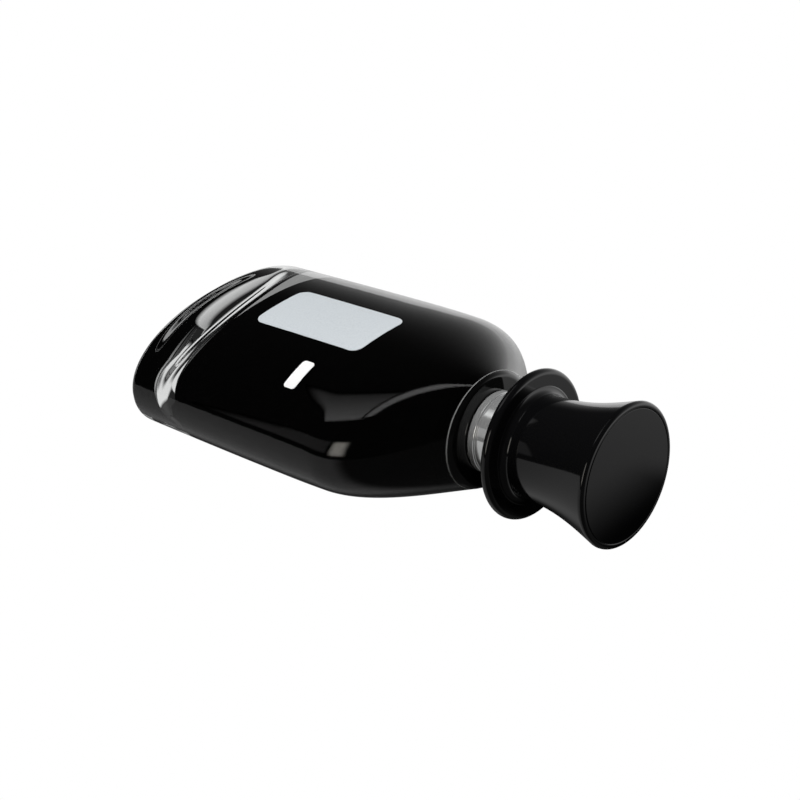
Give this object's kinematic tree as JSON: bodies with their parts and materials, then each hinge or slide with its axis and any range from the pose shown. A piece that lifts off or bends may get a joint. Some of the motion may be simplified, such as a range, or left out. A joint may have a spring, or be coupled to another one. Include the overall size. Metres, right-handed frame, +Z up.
{
  "type": "aftershave bottle",
  "caption": "Flat oval glass spray bottle, black inside with a clear base and a blank printed panel, polished neck collar, press-down pump and pull-off top-hat cap.",
  "frame": {"origin": "centre of the foot, on the surface that the bottle stands on", "axes": "+Z up the neck to the cap, -Y out of the printed face, +X to the viewer's right when facing the print"},
  "size_m": [0.0748, 0.039, 0.1405],
  "materials": {
    "clear_glass": "polished",
    "black_lacquer": "gloss",
    "panel_print": "satin",
    "mark_print": "satin",
    "gasket_rubber": "matte",
    "pump_plastic": "satin",
    "tube_plastic": "translucent",
    "steel": "polished",
    "ferrule_aluminium": "satin",
    "insert_plastic": "satin",
    "collar_chrome": "polished",
    "button_black": "gloss",
    "nozzle_plastic": "gloss",
    "liner_plastic": "satin",
    "hat_black": "high gloss"
  },
  "bodies": {
    "bottle": {"glass_bottle": "clear_glass", "inner_lacquer": "black_lacquer", "front_panel_print": "panel_print", "side_mark_print": "mark_print", "neck_gasket": "gasket_rubber", "pump_housing": "pump_plastic", "dip_tube": "tube_plastic", "pump_spring": "steel", "stem_retainer": "pump_plastic", "stem_gasket": "gasket_rubber", "crimp_ferrule": "ferrule_aluminium", "collar_insert": "insert_plastic", "collar_shell": "collar_chrome"},
    "ball": {"check_ball": "steel"},
    "pump": {"piston": "pump_plastic", "pump_stem": "pump_plastic"},
    "button": {"spray_button": "button_black", "nozzle_insert": "nozzle_plastic"},
    "cap": {"cap_liner": "liner_plastic", "cap_crown": "hat_black", "cap_crown_top": "hat_black", "cap_brim": "hat_black"}
  },
  "joints": [
    {"name": "cap_pull", "type": "slide", "parent": "bottle", "child": "cap", "axis": [0, 0, 1], "range_m": [0, 0.03]},
    {"name": "pump_press", "type": "slide", "parent": "bottle", "child": "pump", "axis": [0, 0, -1], "range_m": [0, 0.0045], "stiffness_N_per_m": 800, "springref_m": -0.002, "deforming": ["pump_spring"]},
    {"name": "button_turn", "type": "hinge", "parent": "pump", "child": "button", "pos_m": [0, 0, 0.118], "axis": [0, 0, 1], "continuous": true},
    {"name": "ball_lift", "type": "slide", "parent": "bottle", "child": "ball", "axis": [0, 0, 1], "range_m": [0, 0.0009]}
  ]
}
